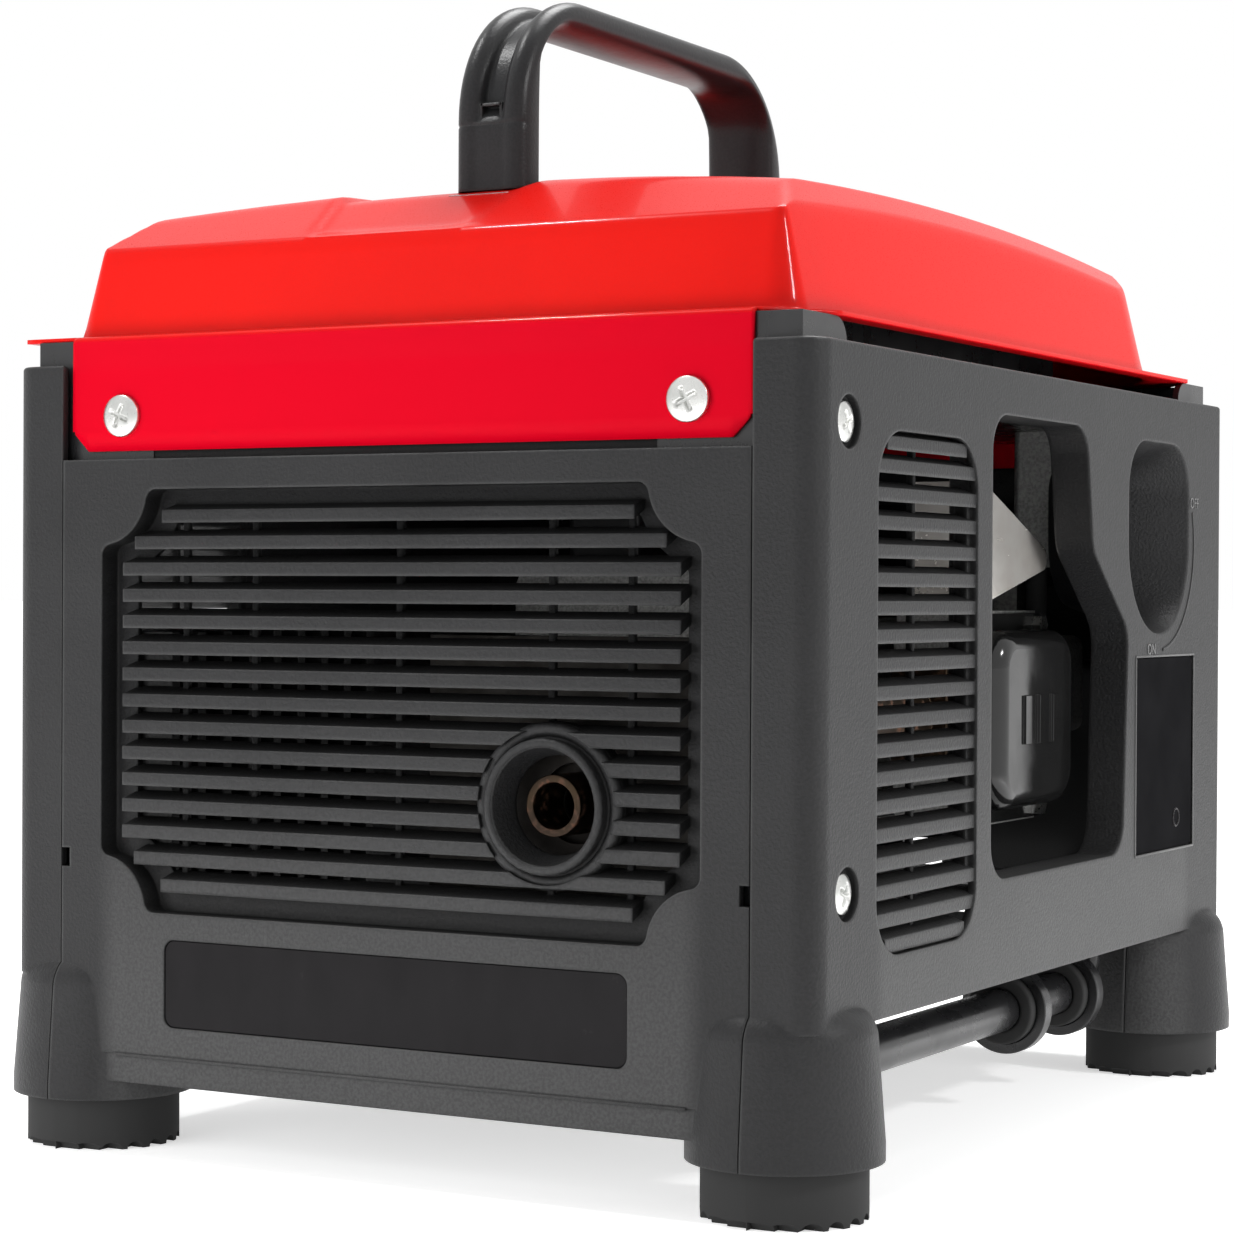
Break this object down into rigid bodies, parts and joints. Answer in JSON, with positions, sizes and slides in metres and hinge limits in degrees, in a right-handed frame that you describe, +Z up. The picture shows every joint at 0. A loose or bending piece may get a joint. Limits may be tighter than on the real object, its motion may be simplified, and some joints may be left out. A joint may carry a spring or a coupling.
{
  "type": "portable generator",
  "caption": "Portable inverter generator with a red pressed lid, black louvred panels, an engine window, a carrying handle and booted rubber feet.",
  "frame": {"origin": "On the floor under the middle of the body", "axes": "+Z up, +Y towards the control end, -Y towards the exhaust end, +X towards the side with the engine window"},
  "size_m": [0.331, 0.408, 0.403],
  "materials": {
    "panel_plastic": "fine textured dark grey-black moulded plastic",
    "plate_film": "smooth glossy black film, left blank",
    "red_paint": "gloss orange-red enamel on pressed sheet steel",
    "handle_plastic": "textured black plastic",
    "black_plastic": "satin black plastic",
    "red_plastic": "glossy red plastic",
    "lamp_plastic": "translucent coloured lens plastic",
    "rubber": "matt black rubber",
    "foam": "oiled open-cell foam",
    "black_paint": "gloss black paint",
    "zinc_steel": "bright zinc plate",
    "polished_steel": "polished sheet steel",
    "sheet_steel": "heat-stained bare steel",
    "cast_aluminium": "sand-cast aluminium"
  },
  "bodies": {
    "frame": {"exhaust_end_panel": "panel_plastic", "front_plate": "plate_film", "right_side_panel": "panel_plastic", "rating_plate": "plate_film", "left_side_panel": "panel_plastic", "control_end_panel": "panel_plastic", "corner_posts": "black_paint", "cross_plates": "black_paint", "frame_tubes": "black_paint", "rubber_feet": "rubber", "top_cover": "red_paint", "carry_handle": "handle_plastic", "handle_bracket": "black_paint", "handle_bolts": "zinc_steel", "panel_screws": "zinc_steel", "mount_sleeves": "rubber", "engine_cradle": "black_paint", "crankcase": "cast_aluminium", "crankcase_cover": "cast_aluminium", "oil_filler_plug": "black_plastic", "cylinder": "cast_aluminium", "cylinder_head": "cast_aluminium", "valve_cover": "black_paint", "valve_cover_bolts": "zinc_steel", "spark_plug": "zinc_steel", "spark_plug_cap": "rubber", "ignition_coil": "black_plastic", "stator": "sheet_steel", "fan_shroud": "black_plastic", "recoil_housing": "black_plastic", "muffler": "sheet_steel", "muffler_shield": "sheet_steel", "tail_pipe": "sheet_steel", "exhaust_pipe": "sheet_steel", "head_guard": "polished_steel", "carburettor": "cast_aluminium", "air_filter_box": "black_plastic", "air_filter_cover": "black_plastic", "air_filter_element": "foam", "tank_tray": "black_paint", "fuel_tank": "black_paint", "fuel_tap": "cast_aluminium", "fuel_hose": "rubber", "inverter_module": "cast_aluminium", "ac_sockets": "black_plastic", "dc_socket": "black_plastic", "indicator_lamps": "lamp_plastic", "earth_terminal": "zinc_steel"},
    "rotor": {"crankshaft": "sheet_steel", "fan_flywheel": "cast_aluminium"},
    "recoil_pulley": {"recoil_pulley": "black_plastic"},
    "starter_grip": {"starter_grip": "black_plastic"},
    "fuel_lever": {"fuel_lever": "black_plastic"},
    "fuel_cap": {"fuel_cap": "black_plastic"},
    "choke": {"choke_control": "black_plastic"},
    "engine_switch": {"engine_switch": "black_plastic"},
    "eco_switch": {"eco_switch": "black_plastic"},
    "breaker_button": {"breaker_button": "red_plastic"},
    "socket_lid_left": {"socket_lid_left": "black_plastic"},
    "socket_lid_right": {"socket_lid_right": "black_plastic"}
  },
  "joints": [
    {"name": "rotor_spin", "type": "hinge", "parent": "frame", "child": "rotor", "pos_m": [-0.015, 0.05, 0.148], "axis": [0, 1, 0], "continuous": true},
    {"name": "starter_pull", "type": "slide", "parent": "frame", "child": "starter_grip", "axis": [-1, 0, 0], "range_m": [0, 0.45], "stiffness_N_per_m": 25, "springref_m": -0.3},
    {"name": "recoil_turn", "type": "hinge", "parent": "frame", "child": "recoil_pulley", "pos_m": [-0.015, 0.14, 0.148], "axis": [0, -1, 0], "range_deg": [0, 870]},
    {"name": "fuel_lever_turn", "type": "hinge", "parent": "frame", "child": "fuel_lever", "pos_m": [0.126, 0.115, 0.216], "axis": [-1, 0, 0], "range_deg": [0, 90]},
    {"name": "fuel_cap_turn", "type": "hinge", "parent": "frame", "child": "fuel_cap", "pos_m": [-0.0835, 0.06, 0.34], "axis": [0, 0, 1], "range_deg": [0, 90]},
    {"name": "choke_pull", "type": "slide", "parent": "frame", "child": "choke", "axis": [0, 1, 0], "range_m": [0, 0.012]},
    {"name": "engine_switch_rock", "type": "hinge", "parent": "frame", "child": "engine_switch", "pos_m": [-0.098, 0.1835, 0.16], "axis": [1, 0, 0], "range_deg": [0, 20]},
    {"name": "eco_switch_rock", "type": "hinge", "parent": "frame", "child": "eco_switch", "pos_m": [-0.098, 0.1835, 0.195], "axis": [1, 0, 0], "range_deg": [0, 20]},
    {"name": "breaker_press", "type": "slide", "parent": "frame", "child": "breaker_button", "axis": [0, -1, 0], "range_m": [0, 0.003], "stiffness_N_per_m": 300},
    {"name": "left_lid_swing", "type": "hinge", "parent": "frame", "child": "socket_lid_left", "pos_m": [-0.012, 0.19, 0.2005], "axis": [1, 0, 0], "range_deg": [0, 110], "stiffness_Nm_per_rad": 0.01, "springref_deg": -28.65},
    {"name": "right_lid_swing", "type": "hinge", "parent": "frame", "child": "socket_lid_right", "pos_m": [0.052, 0.19, 0.2005], "axis": [1, 0, 0], "range_deg": [0, 110], "stiffness_Nm_per_rad": 0.01, "springref_deg": -28.65}
  ],
  "couplings": [
    {"joint": "recoil_turn", "follows": "starter_pull", "rad_per_m": 33.333}
  ]
}
